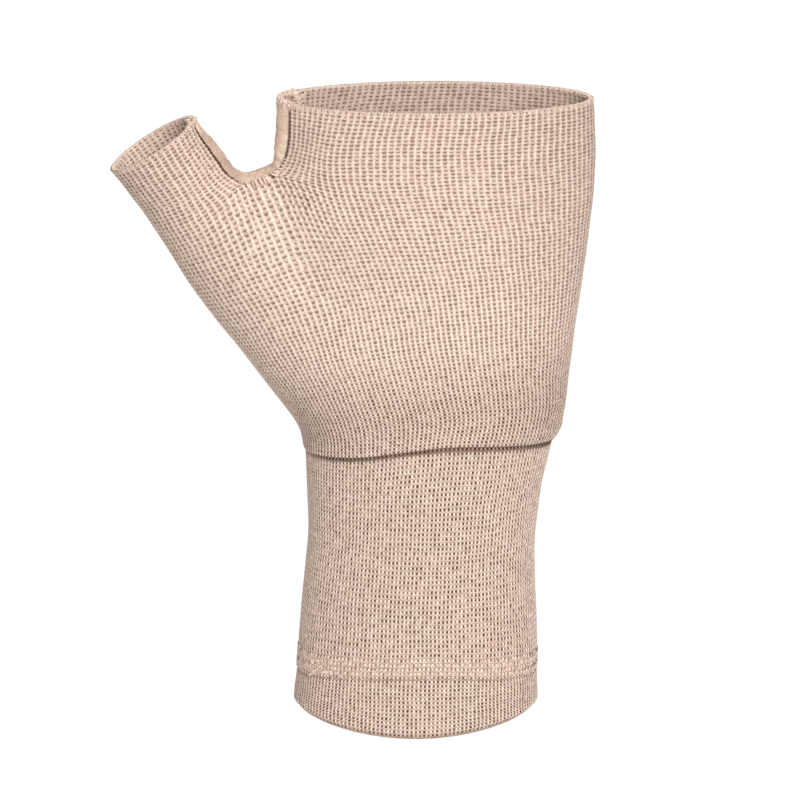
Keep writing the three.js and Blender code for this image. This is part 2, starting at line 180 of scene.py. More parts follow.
def at_lengths(points, lengths, wanted):
    return np.stack([np.interp(wanted, lengths, points[:, k]) for k in range(points.shape[1])], axis=1)


def unit(v):
    return v / np.maximum(np.linalg.norm(v, axis=-1, keepdims=True), 1e-9)


def waves(u, v, seed, reach, size):
    """A smooth wandering number over the cloth, of nine waves that each join up once round."""
    rng = np.random.default_rng(seed)
    total = np.zeros(np.broadcast(u, v).shape)
    for _ in range(9):
        p, q = rng.integers(-reach[0], reach[0] + 1), rng.uniform(-reach[1], reach[1])
        total += np.sin(2 * np.pi * (p * u / (2 * WALES) + q * v / TOP_ROW) + rng.uniform(0, 6.28))
    return total * size / 3


# ---- the cloth's shape ----

HALF_TURN = np.linspace(0, np.pi, SAMPLES + 1)
SEAM_RISE = np.array([track(SEAM_WANDER, a)[0] for a in HALF_TURN])


def wrist_half_row(row, shares):
    """The front half of a row of the wrist tube at shares 0 to 1 of its length."""
    z_thumb, z_far, rise, left, right, depth = track(WRIST, row)
    a = HALF_TURN
    wandering = SEAM_RISE * smoothstep(row, 40, WRIST_ROWS)
    points = np.stack([
        (left + right) / 2 - (right - left) / 2 * np.cos(a),
        -depth * np.sin(a),
        z_thumb + (z_far - z_thumb) * a / np.pi + rise * np.sin(a) ** 2 + wandering,
    ], axis=1)
    lengths = lengths_along(points)
    return at_lengths(points, lengths, shares * lengths[-1])


def hand_fine_row(row):
    """Fine points of half a row below the notch, and how far along its front view each one is."""
    x_thumb, z_thumb, x_far, z_far, rise, angle = track(HAND_EDGES, row)
    mound_half, mound_depth, palm_from, palm_depth, bridge, bridge_at, bridge_half = track(HAND_DEPTHS, row)
    palm_from, bridge_half = max(palm_from, 0.0), min(bridge_half, bridge_at)
    length = math.hypot(x_far - x_thumb, z_far - z_thumb)
    lean = math.radians(angle)
    p0, p3 = np.array([x_thumb, z_thumb]), np.array([x_far, z_far])
    p1 = p0 + 0.3 * length * np.array([math.cos(lean), math.sin(lean)])
    p2 = p3 - np.array([0.4 * length, 0])
    t = np.linspace(0, 1, 2 * SAMPLES)[:, None]
    curve = p0 * (1 - t) ** 3 + 3 * p1 * t * (1 - t) ** 2 + 3 * p2 * t * t * (1 - t) + p3 * t ** 3
    curve_lengths = lengths_along(curve)
    total = curve_lengths[-1]
    x = total * (1 - np.cos(HALF_TURN)) / 2
    flat = at_lengths(curve, curve_lengths, x)
    thumb = mound(x, mound_half, mound_half, mound_depth)
    palm = mound(x, (palm_from + total) / 2, (total - palm_from) / 2, palm_depth)
    web = mound(x, bridge_at, bridge_half, bridge)
    depth = (thumb ** LOBE_POWER + palm ** LOBE_POWER + web ** LOBE_POWER) ** (1 / LOBE_POWER)
    z = flat[:, 1] + rise * np.minimum(1, depth / palm_depth) ** 2
    return np.stack([flat[:, 0], -depth, z], axis=1), x


def hand_half_row(row, part, shares):
    """The thumb's, notch's or hand's part of a half row below the notch."""
    points, x = hand_fine_row(row)
    lengths = lengths_along(points)
    total = lengths[-1]
    share = float(smoothstep(row, 25, WEB_ROW))
    thumb_end = (1 - share) * total * THUMB_WALES / WALES + share * np.interp(NOTCH_FROM, x, lengths)
    hand_start = (1 - share) * total * NOTCH_WALES / WALES + share * np.interp(NOTCH_TO, x, lengths)
    parts = {"thumb": (0, thumb_end), "notch": (thumb_end, hand_start), "hand": (hand_start, total)}
    start, end = parts[part]
    return at_lengths(points, lengths, start + (end - start) * shares)


def whole_hand_half_row(row, columns):
    """Half a row below the notch at the given columns, 0 to WALES."""
    ends = [0, THUMB_WALES, NOTCH_WALES, WALES]
    points = np.zeros((len(columns), 3))
    for part, low, high in zip(("thumb", "notch", "hand"), ends, ends[1:]):
        inside = (columns >= low) & (columns <= high)
        points[inside] = hand_half_row(row, part, (columns[inside] - low) / (high - low))
    return points


def top_half_row(part, shares):
    """The front half of the rim of the thumb opening or the hand opening, without the strip."""
    centre, half_width, half_depth = HAND_TOP
    radius = np.linalg.norm(THUMB_INNER_TOP - THUMB_OUTER_TOP) / 2
    depth = radius if part == "thumb" else half_depth
    skip = math.asin((THUMB_CORNER if part == "thumb" else GUSSET_HALF_WIDTH) / depth)
    a = np.linspace(*((0, np.pi - skip) if part == "thumb" else (skip, np.pi)), SAMPLES + 1)
    if part == "thumb":
        xz = THUMB_OUTER_TOP + np.outer((1 - np.cos(a)) / 2, THUMB_INNER_TOP - THUMB_OUTER_TOP)
    else:
        xz = np.stack([centre - half_width * np.cos(a), np.full_like(a, TOP_HEIGHT)], axis=1)
    points = np.stack([xz[:, 0], -depth * np.sin(a), xz[:, 1]], axis=1)
    lengths = lengths_along(points)
    return at_lengths(points, lengths, shares * lengths[-1])


def branch_half_rows(part, count, rows):
    """Half rows of the thumb or hand branch: it leaves the web row smoothly and ends in the rim."""
    shares = np.linspace(0, 1, count)
    low = hand_half_row(WEB_ROW, part, shares)
    before = hand_half_row(WEB_ROW - 1, part, shares)
    top = top_half_row(part, shares)
    height = TOP_ROW - WEB_ROW
    leaving = (low - before) * height
    leaving[:, 1] = (top - low)[:, 1]
    return np.stack([hermite(low, top, leaving, top - low, (row - WEB_ROW) / height) for row in rows])


def whole_rows(halves):
    """Adds the back: the front's mirror image, without the two columns that they share."""
    return np.concatenate([halves, halves[:, -2:0:-1] * [1, -1, 1]], axis=1)


def notch_line():
    """The notch's edge as fine points (x, z, half width, bulge), and their lengths along it."""
    chords = lengths_along(NOTCH[:, :2])
    table = np.column_stack([chords, NOTCH])
    fine = np.array([track(table, c) for c in np.linspace(0, chords[-1], 500)])
    return fine, lengths_along(fine[:, :2])


NOTCH_FINE, NOTCH_LENGTHS = notch_line()


def notch_at(length):
    """Front edge points of the notch, the strip's bulge there and the direction into the notch."""
    wanted = np.atleast_1d(length)
    x, z, half, bulge = at_lengths(NOTCH_FINE, NOTCH_LENGTHS, wanted).T
    ahead = at_lengths(NOTCH_FINE, NOTCH_LENGTHS, np.minimum(wanted + 0.6, NOTCH_LENGTHS[-1]))
    behind = at_lengths(NOTCH_FINE, NOTCH_LENGTHS, np.maximum(wanted - 0.6, 0))
    along = unit((ahead - behind)[:, :2])
    into = np.stack([-along[:, 1], np.zeros(len(wanted)), along[:, 0]], axis=1)
    return np.stack([x, -half, z], axis=1), bulge, into


def notch_place(column, row):
    """Length along the notch's edge of a stitch on it."""
    low, high = NOTCH_WEB
    share = (row - WEB_ROW) / (TOP_ROW - WEB_ROW)
    if row == WEB_ROW:
        return low + (high - low) * (column - THUMB_WALES) / (NOTCH_WALES - THUMB_WALES)
    if column == THUMB_WALES:
        return low * (1 - share)
    return high + (NOTCH_LENGTHS[-1] - high) * share


def fade(distance):
    """1 at distance 0, falling smoothly to 0 at 1."""
    t = np.clip(distance, 0, 1)
    return (1 - t) ** 2 * (1 + 2 * t)


def fit_notch(halves, columns, rows):
    """Pulls the half rows near the notch so that its edge follows NOTCH."""
    reach_across, reach_down = 10.0, 16.0
    inside = (columns >= THUMB_WALES) & (columns <= NOTCH_WALES)
    places = np.array([notch_place(c, WEB_ROW) for c in columns[inside]])
    pull = np.zeros((len(columns), 3))
    pull[inside] = notch_at(places)[0] - halves[WEB, inside]
    first, last = np.flatnonzero(inside)[[0, -1]]
    pull[:first], pull[last + 1:] = pull[first], pull[last]
    aside = np.maximum(THUMB_WALES - columns, columns - NOTCH_WALES).clip(0) / reach_across
    for i, row in enumerate(rows):
        if row <= WEB_ROW:
            halves[i] += pull * fade(np.hypot(aside, (WEB_ROW - row) / reach_down))[:, None]
            continue
        for edge, side in ((THUMB_WALES, columns <= THUMB_WALES), (NOTCH_WALES, columns >= NOTCH_WALES)):
            move = notch_at(notch_place(edge, row))[0][0] - halves[i, columns == edge][0]
            halves[i, side] += move * fade(aside[side])[:, None]


def meet_wrist(halves, shares):
    """Brings the hand piece's lower rows close round the wrist tube."""
    ring = wrist_half_row(WRIST_ROWS, shares)
    ahead = unit(np.gradient(ring, axis=0))
    out = np.cross(ahead, [0, 0, 1.0])
    out[0], out[-1] = (-1, 0, 0), (1, 0, 0)
    pull = ring + unit(out) * (0.55 + 1.6 * shares[:, None]) - halves[0]
    for i in range(9 * FINE):
        halves[i] += pull * fade(i / (9 * FINE))


def straighten_columns(halves, columns):
    """Evens out the run of the columns over the hand, where two ways of shaping the rows meet."""
    reach = 7 * FINE
    side = columns >= NOTCH_WALES
    even = halves[:, side].copy()
    for _ in range(3):
        below = 2 * even[0] - even[reach:0:-1]
        above = 2 * even[-1] - even[-2:-reach - 2:-1]
        sums = np.cumsum(np.concatenate([np.zeros_like(even[:1]), below, even, above]), axis=0)
        even = (sums[2 * reach + 1:] - sums[:-2 * reach - 1]) / (2 * reach + 1)
    rows = np.arange(len(halves)) / FINE
    share = smoothstep(columns[side], NOTCH_WALES + 1, NOTCH_WALES + 10) * smoothstep(rows, 30, 50)[:, None]
    halves[:, side] += (even - halves[:, side]) * share[..., None]


def hand_base(rows):
    """The hand piece's middle surface; it has no numbers in the notch."""
    columns = np.arange(ROUND // 2 + 1) / FINE
    halves = np.full((len(rows), len(columns), 3), np.nan)
    below, above = slice(WEB + 1), slice(WEB + 1, None)
    halves[below] = [whole_hand_half_row(row, columns) for row in rows[below]]
    halves[above, :THUMB_END + 1] = branch_half_rows("thumb", THUMB_END + 1, rows[above])
    halves[above, HAND_START:] = branch_half_rows("hand", len(columns) - HAND_START, rows[above])
    straighten_columns(halves, columns)
    fit_notch(halves, columns, rows)
    meet_wrist(halves, columns / WALES)
    return whole_rows(halves)


# ---- meshes ----

def grid_quads(index, wrap, keep):
    """The kept faces of a grid of point numbers, facing outward."""
    right = np.roll(index, -1, axis=1)
    quads = np.stack([index[:-1], right[:-1], right[1:], index[1:]], axis=-1)
    if not wrap:
        quads = quads[:, :-1]
    return quads[keep]


def lay_stitches(mesh, uv, sizes, starts):
    """Writes the stitch coordinates; a face over the end of the row keeps its columns together."""
    highest = np.repeat(np.maximum.reduceat(uv[:, 0], starts), sizes)
    uv[(highest - uv[:, 0]) > WALES, 0] += 2 * WALES
    layer = mesh.uv_layers.new(name="stitches")
    layer.data.foreach_set("uv", uv.astype(np.float32).ravel())


def new_object(name, data):
    obj = bpy.data.objects.new(name, data)
    scene.collection.objects.link(obj)
    return obj


class Cloth:
    """Collects points with their stitch coordinates, stretch and shade, and makes one mesh of them."""

    def __init__(self):
        self.points, self.stitches, self.stretches, self.shades, self.quads = [], [], [], [], []
        self.tris = [np.zeros((0, 3), int)]
        self.count = 0

    def add_points(self, points, u, v, stretch=0.0, shade=0.0):
        shape = points.shape[:-1]
        index = self.count + np.arange(int(np.prod(shape))).reshape(shape)
        self.points.append(points.reshape(-1, 3))
        self.stitches.append(np.stack(np.broadcast_arrays(u, v), axis=-1).reshape(-1, 2))
        self.stretches.append(np.broadcast_to(stretch, shape).reshape(-1))
        self.shades.append(np.broadcast_to(shade, shape).reshape(-1))
        self.count += index.size
        return index

    def add_rim(self, outer, middle, inner, loop):
        """Closes an edge: outer path, then a middle and an inner path with half as many points."""
        if loop:
            outer, middle, inner = (np.append(p, p[0]) for p in (outer, middle, inner))
        o0, o1, o2 = outer[:-2:2], outer[1:-1:2], outer[2::2]
        m0, m1 = middle[:-1], middle[1:]
        self.tris += [np.stack(t, axis=1) for t in ((o1, o0, m0), (m1, o1, m0), (o2, o1, m1))]
        self.quads.append(np.stack([m0, inner[:-1], inner[1:], m1], axis=1))

    def add_tube(self, path, radius, sides, loop):
        """A thread of round section along a path; an open one has six sides."""
        if loop:
            ahead = unit(np.roll(path, -1, axis=0) - np.roll(path, 1, axis=0))
        else:
            ahead = unit(np.gradient(path, axis=0))
        side = unit(np.cross(ahead, ASLANT))
        up = np.cross(side, ahead)
        turn = 2 * np.pi * np.arange(sides) / sides
        ring = side[:, None] * np.cos(turn)[:, None] + up[:, None] * np.sin(turn)[:, None]
        around = np.arange(sides)[None] / sides
        index = self.add_points(path[:, None] + radius * ring, around, lengths_along(path)[:, None])
        rings = np.append(index, index[:1], axis=0) if loop else index
        right = np.roll(rings, -1, axis=1)
        self.quads.append(np.stack([rings[:-1], rings[1:], right[1:], right[:-1]], axis=-1).reshape(-1, 4))
        if not loop:
            for end in (index[0], index[-1][::-1]):
                self.quads.append(np.array([end[[0, 1, 2, 3]], end[[0, 3, 4, 5]]]))

    def build(self, name, material):
        quads, tris = np.concatenate(self.quads), np.concatenate(self.tris)
        corners = np.concatenate([quads.ravel(), tris.ravel()])
        used, corners = np.unique(corners, return_inverse=True)
        collected = (self.points, self.stitches, self.stretches, self.shades)
        points, stitches, stretches, shades = (np.concatenate(values)[used] for values in collected)
        sizes = np.repeat([4, 3], [len(quads), len(tris)])
        starts = np.concatenate([[0], np.cumsum(sizes)[:-1]])
        mesh = bpy.data.meshes.new(name)
        mesh.vertices.add(len(points))
        mesh.vertices.foreach_set("co", (points * MM).astype(np.float32).ravel())
        mesh.loops.add(len(corners))
        mesh.loops.foreach_set("vertex_index", corners.astype(np.int32))
        mesh.polygons.add(len(sizes))
        mesh.polygons.foreach_set("loop_start", starts.astype(np.int32))
        mesh.polygons.foreach_set("use_smooth", np.ones(len(sizes), bool))
        mesh.update(calc_edges=True)
        lay_stitches(mesh, stitches[corners], sizes, starts)
        for title, values in (("stretch", stretches), ("shade", shades)):
            attribute = mesh.attributes.new(title, "FLOAT", "POINT")
            attribute.data.foreach_set("value", values.astype(np.float32))
        mesh.validate(clean_customdata=False)
        mesh.materials.append(material)
        return new_object(name, mesh)


def point_normals(points, quads):
    """Smooth normals of a grid mesh."""
    a, b, c, d = (points[quads[:, k]] for k in range(4))
    face = np.cross(c - a, d - b)
    total = np.zeros_like(points)
    for k in range(4):
        for axis in range(3):
            total[:, axis] += np.bincount(quads[:, k], weights=face[:, axis], minlength=len(points))
    return unit(total)


class Shell(Cloth):
    """The outer face with its relief and the inner face, half as fine, of a grid of cloth. keep says which
    of the grid's faces are cloth, wrap that its columns close to a ring."""

    def __init__(
        self, base, u, v, stretch, relief, inner_relief, shade, keep=None, wrap=True, thickness=FABRIC
    ):
        super().__init__()
        self.base, self.u, self.v = base, u, v
        if keep is None:
            keep = np.ones((base.shape[0] - 1, base.shape[1] - (not wrap)), bool)
        quads = grid_quads(np.arange(u.size).reshape(u.shape), wrap, keep)
        self.normals = point_normals(np.nan_to_num(base.reshape(-1, 3)), quads).reshape(base.shape)
        self.outer_points = np.nan_to_num(base + self.normals * relief[..., None])
        self.outer = self.add_points(self.outer_points, u, v, stretch, shade)
        self.quads.append(grid_quads(self.outer, wrap, keep))
        depth = (thickness + inner_relief)[..., None]
        self.inner_points = np.nan_to_num(base - self.normals * depth)[::2, ::2]
        self.inner = self.add_points(self.inner_points, u[::2, ::2], v[::2, ::2], stretch[::2, ::2])
        keep = keep[::2, ::2] & keep[1::2, ::2] & keep[::2, 1::2] & keep[1::2, 1::2]
        self.quads.append(grid_quads(self.inner, wrap, keep)[:, ::-1])

    def close(self, rows, columns, next_rows, next_columns, bulge, shade=0.0, loop=False):
        """Rounds off the edge along rows and columns; the next ones lie one step into the cloth."""
        rows, columns, next_rows, next_columns = np.broadcast_arrays(rows, columns, next_rows, next_columns)
        away = unit(np.nan_to_num(self.base[rows, columns] - self.base[next_rows, next_columns]))[::2]
        every = rows[::2], columns[::2]
        inner = every[0] // 2, every[1] // 2
        middle = (self.outer_points[every] + self.inner_points[inner]) / 2 + away * bulge
        middle = self.add_points(middle, self.u[every], self.v[every], 0.0, shade)
        self.add_rim(self.outer[rows, columns], middle, self.inner[inner], loop)


# ---- materials ----

def srgb(red, green, blue):
    """A colour for a socket, from screen values 0 to 255."""
    shares = (c / 255 for c in (red, green, blue))
    return (*(s / 12.92 if s <= 0.04045 else ((s + 0.055) / 1.055) ** 2.4 for s in shares), 1)


KNIT_TONES = (srgb(194, 167, 150), srgb(219, 194, 178))
# painted highlight on the wale ribs and the bright teeth
PAINTED_HIGHLIGHT = srgb(255, 238, 222)
# painted shade in the grooves between rows and in the strip's creases
PAINTED_CREASE_SHADE = srgb(128, 98, 80)
# painted shade: the dark brown that the stitch holes, the marked shade and the strip's shade are mixed toward
PAINTED_SHADE = srgb(84, 56, 40)
STRIP_TONES = (srgb(245, 213, 189), srgb(255, 233, 211))
THREAD_TONES = (srgb(196, 170, 152), srgb(242, 219, 203))
# a darker copy of the thread colour: painted shade for the lap thread down in the seam's groove
SHADED_TONES = (srgb(92, 62, 46), srgb(132, 98, 78))
SHEEN = srgb(255, 236, 220)
WHITE = srgb(255, 255, 255)
BLACK = srgb(0, 0, 0)


def set_inputs(node, values):
    for name, value in values.items():
        node.inputs[name].default_value = value


class Nodes:
    """A material with short ways to make its nodes."""

    def __init__(self, name, roughness):
        self.material = bpy.data.materials.new(name)
        self.material.use_nodes = True
        self.tree = self.material.node_tree
        self.shader = self.tree.nodes["Principled BSDF"]
        set_inputs(self.shader, {"Roughness": roughness, "Specular IOR Level": 0.25})
        set_inputs(self.shader, {"Sheen Weight": 0.06, "Sheen Roughness": 0.5, "Sheen Tint": SHEEN})

    def put(self, socket, value):
        if isinstance(value, bpy.types.NodeSocket):
            self.tree.links.new(value, socket)
        else:
            socket.default_value = value

    def node(self, kind, *values):
        """A new node with values or links in its first sockets."""
        node = self.tree.nodes.new("ShaderNode" + kind)
        for socket, value in zip(node.inputs, values):
            self.put(socket, value)
        return node

    def math(self, operation, *values):
        node = self.node("Math", *values)
        node.operation = operation
        return node.outputs[0]

    def plus(self, a, b):
        return self.math("ADD", a, b)

    def minus(self, a, b):
        return self.math("SUBTRACT", a, b)

    def times(self, a, b):
        return self.math("MULTIPLY", a, b)

    def lerp(self, share, low, high):
        return self.math("MULTIPLY_ADD", share, high - low, low)

    def ramp(self, value, low, high, to_low=0.0, to_high=1.0):
        node = self.node("MapRange", value, low, high, to_low, to_high)
        node.interpolation_type = "SMOOTHSTEP"
        return node.outputs[0]

    def stitches(self):
        node = self.node("UVMap")
        node.uv_map = "stitches"
        split = self.node("SeparateXYZ", node.outputs[0])
        return split.outputs[0], split.outputs[1]

    def attribute(self, name):
        node = self.node("Attribute")
        node.attribute_name = name
        return node.outputs["Fac"]

    def vector(self, x, y, z=0.0):
        return self.node("CombineXYZ", x, y, z).outputs[0]

    def position(self):
        return self.node("TexCoord").outputs["Object"]

    def noise(self, vector, scale, detail):
        node = self.node("TexNoise", vector)
        set_inputs(node, {"Scale": scale, "Detail": detail})
        return node.outputs["Fac"]

    def white(self, vector):
        return self.node("TexWhiteNoise", vector).outputs["Value"]

    def mix(self, share, a, b):
        node = self.node("Mix", share)
        node.data_type = "RGBA"
        for socket, colour in zip([s for s in node.inputs if s.type == "RGBA"], (a, b)):
            self.put(socket, colour)
        return next(s for s in node.outputs if s.type == "RGBA")

    def finish(self, colour, height, distance):
        """Gives the shader its colour and the yarn's fine bump, whose distance is in metres."""
        bump = self.node("Bump")
        set_inputs(bump, {"Strength": 0.8, "Distance": distance})
        self.put(bump.inputs["Height"], height)
        self.put(self.shader.inputs["Base Color"], colour)
        self.put(self.shader.inputs["Normal"], bump.outputs[0])
        return self.material


def knit_pattern(n, u, v, stretch):
    """How far a place is in a hole, in the groove between rows and on a wale, each 0 to 1."""
    warp = n.minus(n.noise(n.vector(u, v), 0.9, 2.0), 0.5)
    warp_up = n.minus(n.noise(n.vector(v, u, 7.0), 0.9, 2.0), 0.5)
    across = n.math("PINGPONG", n.plus(u, n.times(warp, 0.35)), 0.5)  # 0 hole, 0.5 wale
    lean = n.times(n.math("COSINE", n.times(u, 2 * math.pi)), 0.09)
    height = n.math("FRACT", n.plus(n.plus(v, lean), n.times(warp_up, 0.35)))
    up = n.math("ABSOLUTE", n.minus(height, 0.5))
    hole_x = n.math("DIVIDE", across, n.lerp(stretch, 0.24, 0.36))
    hole_y = n.math("DIVIDE", up, n.lerp(stretch, 0.25, 0.19))
    distance = n.math("SQRT", n.plus(n.math("POWER", hole_x, 2.0), n.math("POWER", hole_y, 2.0)))
    own = n.white(n.vector(n.math("ROUND", u), n.math("FLOOR", v)))
    hole = n.ramp(n.plus(distance, n.times(n.minus(own, 0.5), 0.55)), 1.2, 0.5)
    groove = n.ramp(n.math("ABSOLUTE", n.minus(height, 0.82)), 0.12, 0.02)
    groove = n.times(groove, n.lerp(stretch, 0.55, 0.1))
    tooth = n.math("MAXIMUM", n.ramp(up, 0.34, 0.14), n.ramp(stretch, 0.1, 0.5))
    wale = n.times(n.ramp(across, 0.24, 0.42), tooth)
    return hole, groove, wale


def knit_material():
    n = Nodes("beige_knit", 0.9)
    u, v = n.stitches()
    stretch = n.attribute("stretch")
    hole, groove, wale = knit_pattern(n, u, v, stretch)
    tone = n.noise(n.position(), 700.0, 4.0)
    colour = n.mix(n.ramp(tone, 0.3, 0.7), *KNIT_TONES)
    # painted highlight on the wales, stronger where the knit is tight
    colour = n.mix(n.times(wale, n.lerp(stretch, 0.78, 0.34)), colour, PAINTED_HIGHLIGHT)
    # painted shade in the groove between rows
    colour = n.mix(groove, colour, PAINTED_CREASE_SHADE)
    # painted shade in the stitch holes, less where the knit is stretched
    colour = n.mix(n.times(hole, n.ramp(stretch, 0.08, 0.45, 0.94, 0.62)), colour, PAINTED_SHADE)
    # painted shade from the shade attribute, half as strong on the wales
    shade = n.times(n.attribute("shade"), n.minus(1.0, n.times(wale, 0.5)))
    colour = n.mix(shade, colour, PAINTED_SHADE)
    fuzz = n.noise(n.position(), 3500.0, 4.0)
    return n.finish(colour, n.minus(fuzz, n.times(hole, 1.5)), 0.00015)


def strip_material():
    n = Nodes("soft_strip", 0.95)
    u, v = n.stitches()
    ribs = n.noise(n.vector(n.times(u, 0.35), n.times(v, 2.6)), 1.0, 4.0)
    fuzz = n.noise(n.position(), 2600.0, 5.0)
    tone = n.noise(n.position(), 260.0, 3.0)
    colour = n.mix(n.ramp(tone, 0.3, 0.75), *STRIP_TONES)
    # painted shade in the troughs of the strip's ribs
    colour = n.mix(n.ramp(ribs, 0.5, 0.34, 0.0, 0.22), colour, PAINTED_CREASE_SHADE)
    # painted shade from the shade attribute
    colour = n.mix(n.attribute("shade"), colour, PAINTED_SHADE)
    return n.finish(colour, n.plus(n.times(ribs, 2.0), fuzz), 0.0003)


def thread_material(name, tones):
    n = Nodes(name, 0.8)
    tone = n.noise(n.position(), 1500.0, 3.0)
    colour = n.mix(n.ramp(tone, 0.3, 0.7), *tones)
    return n.finish(colour, n.noise(n.position(), 5000.0, 3.0), 0.0001)


KNIT = knit_material()
STRIP = strip_material()
THREAD = thread_material("beige_thread", THREAD_TONES)
# the same thread colour in painted shade
SHADED_THREAD = thread_material("thread_painted_shade", SHADED_TONES)


# ---- pieces of knit ----

def column_grid(first_row, last_row):
    """Stitch coordinates of a whole grid, FINE steps to a stitch."""
    v = np.arange(round(first_row * FINE), round(last_row * FINE) + 1) / FINE
    u = np.arange(ROUND) / FINE
    return np.broadcast_to(u, (len(v), ROUND)), np.broadcast_to(v[:, None], (len(v), ROUND))


def half_column(u):
    """The column counted from the thumb side, front or back."""
    return np.minimum(u, 2 * WALES - u)


def stitch_relief(u, v, stretch, seed):
    """Height of the yarn over the cloth's middle surface: a hole at every whole u and half v, a wale rib
    between the holes of a row and a band of yarn between rows. Stretched cloth has wider holes."""
    across = np.abs((u + 0.5) % 1 - 0.5)
    up = np.abs(v % 1 - 0.5)
    wide = 0.27 + 0.08 * stretch
    hole = np.clip(1.35 - np.sqrt((across / wide) ** 2 + (up / 0.26) ** 2), 0, 1)
    rib, band, groove = bell(across, 0.5, 0.2), bell(up, 0.5, 0.2), bell(v % 1, 0.8, 0.12)
    rng = np.random.default_rng(seed)
    loose = rng.normal(1, 0.22, (int(v.max()) + 3, 2 * WALES + 1))
    own = loose[np.floor(v).astype(int).clip(0), np.floor(u + 0.5).astype(int) % (2 * WALES)]
    return 0.13 * rib + 0.10 * band - (0.34 - 0.12 * stretch) * hole * own - 0.1 * (1 - stretch) * groove


def wander(base, u, v, seed, hold):
    """Lets columns and rows stray a little from their even places, less where hold is near 1."""
    across = (np.roll(base, -1, axis=1) - np.roll(base, 1, axis=1)) / 2 * FINE
    up = np.gradient(base, axis=0) * FINE
    free = (1 - hold)[..., None]
    stray_u = waves(u, v, seed, (9, 7), 0.07) + waves(u, v, seed + 1, (2, 40), 0.03)
    stray_v = waves(u, v, seed + 2, (9, 7), 0.1) + waves(u, v, seed + 3, (30, 2), 0.03)
    return base + free * (across * stray_u[..., None] + up * stray_v[..., None])


def hem_band(v):
    """1 between the hem's needle lines and 0 outside them."""
    above_lower = smoothstep(v, HEM_LOWER_ROW, HEM_LOWER_ROW + 1)
    return above_lower * (1 - smoothstep(v, HEM_UPPER_ROW - 1, HEM_UPPER_ROW))


def hem_relief(v):
    """The turned-up hem: a sunk needle line below and above a slightly raised band, and a round fold."""
    fold = 1 - smoothstep(v, 0, 1.6)
    lower, upper = bell(v, HEM_LOWER_ROW, 0.4), bell(v, HEM_UPPER_ROW, 0.4)
    return 0.02 * hem_band(v) - 0.3 * lower - 0.1 * upper - 0.9 * fold ** 2


def wrist_shade(u, v):
    """Painted shade: darker under the hand piece, in the lower needle line, at the fold and on the far side.
    """
    from_thumb = half_column(u)
    shade = (0.3 + 0.55 * smoothstep(from_thumb, 5, 16)) * bell(v, WRIST_ROWS - 0.6, 0.8)
    shade = shade + 0.5 * bell(v, HEM_LOWER_ROW, 0.3) + 0.45 * (1 - smoothstep(v, 0, 0.9))
    return shade + 0.06 * smoothstep(from_thumb, 56, 76)


def make_wrist_tube(name, first_row, last_row, inset=0.0, thickness=FABRIC):
    """A length of the wrist tube or, with an inset, the hem's second layer inside it."""
    u, v = column_grid(first_row, last_row)
    shares = np.linspace(0, 1, ROUND // 2 + 1)
    halves = np.stack([wrist_half_row(row, shares) for row in v[:, 0]])
    hold = 1 - smoothstep(v, first_row, first_row + 2) * (1 - smoothstep(v, last_row - 2, last_row))
    base = wander(whole_rows(halves), u, v, 5, hold)
    outside = inset == 0
    relief = stitch_relief(u, v, WRIST_STRETCH, 11) + waves(u, v, 31, (7, 9), 0.08)
    relief = relief + outside * hem_relief(v) - inset
    relief = relief - 1.5 * smoothstep(v, WRIST_ROWS - 0.6, WRIST_ROWS + 0.8)  # tucked under the hand piece
    inner_relief = stitch_relief(u, v, WRIST_STRETCH, 12) + inset
    stretch = WRIST_STRETCH - 1.1 * outside * hem_band(v)
    shade = outside * wrist_shade(u, v)
    tube = Shell(base, u, v, stretch, relief, inner_relief, shade, thickness=thickness)
    columns, top = np.arange(ROUND), len(v) - 1
    back = -columns % ROUND
    tube.close(0, columns, 1, columns, 0.5, loop=True)
    tube.close(top, back, top - 1, back, 0.1, loop=True)
    return tube.build(name, KNIT)


def hand_stretch(u, v):
    """How far the knit is pulled open: tight at the wrist seam, wide open over the knuckles and thumb."""
    slack = np.exp(-((v - 61) / 6) ** 2 - ((half_column(u) - 28) / 9) ** 2)  # pushed together under the notch
    return 0.1 + 0.9 * smoothstep(v, 4, 62) - 0.7 * slack


def notch_distance(u, v):
    """Stitches between a place on the hand piece and the notch's edge."""
    aside = np.maximum(THUMB_WALES - half_column(u), half_column(u) - NOTCH_WALES)
    return np.hypot(aside.clip(0), (WEB_ROW - v).clip(0))


def hand_relief(u, v, stretch, near):
    """The stitches, ribs of gathered cloth round the notch, and edges that roll in."""
    from_thumb = half_column(u) / WALES
    ribs = 0.22 * np.sin(np.pi * v) * bell(near, 5, 3.5) * (v < WEB_ROW)
    edge_roll = 0.4 * (1 - smoothstep(v, 0, 0.7)) ** 2 + 0.1 * (1 - smoothstep(near, 0, 0.8))
    edge_roll = edge_roll + 1.2 * smoothstep(from_thumb, 0.4, 1.0) * np.clip(1 - v / 2.6, 0, 1)
    return stitch_relief(u, v, stretch, 21) + waves(u, v, 61, (7, 9), 0.1) + ribs - edge_roll


def hand_shade(u, v, near):
    """Painted shade: darker at the lower edge, low on the hand, at the notch, where turned away from the
    light, and near the top.
    """
    from_thumb = half_column(u) / WALES
    turned_away = 1 - smoothstep(np.minimum(from_thumb, 1 - from_thumb), 0.03, 0.33)
    shade = 0.8 * (1 - smoothstep(v, 0, 0.32)) + 0.13 * bell(v, 10, 8)
    shade = shade + 0.55 * (1 - smoothstep(near, 0.0, 0.2)) + 0.16 * turned_away
    return shade + 0.07 * smoothstep(v, 62, 84)


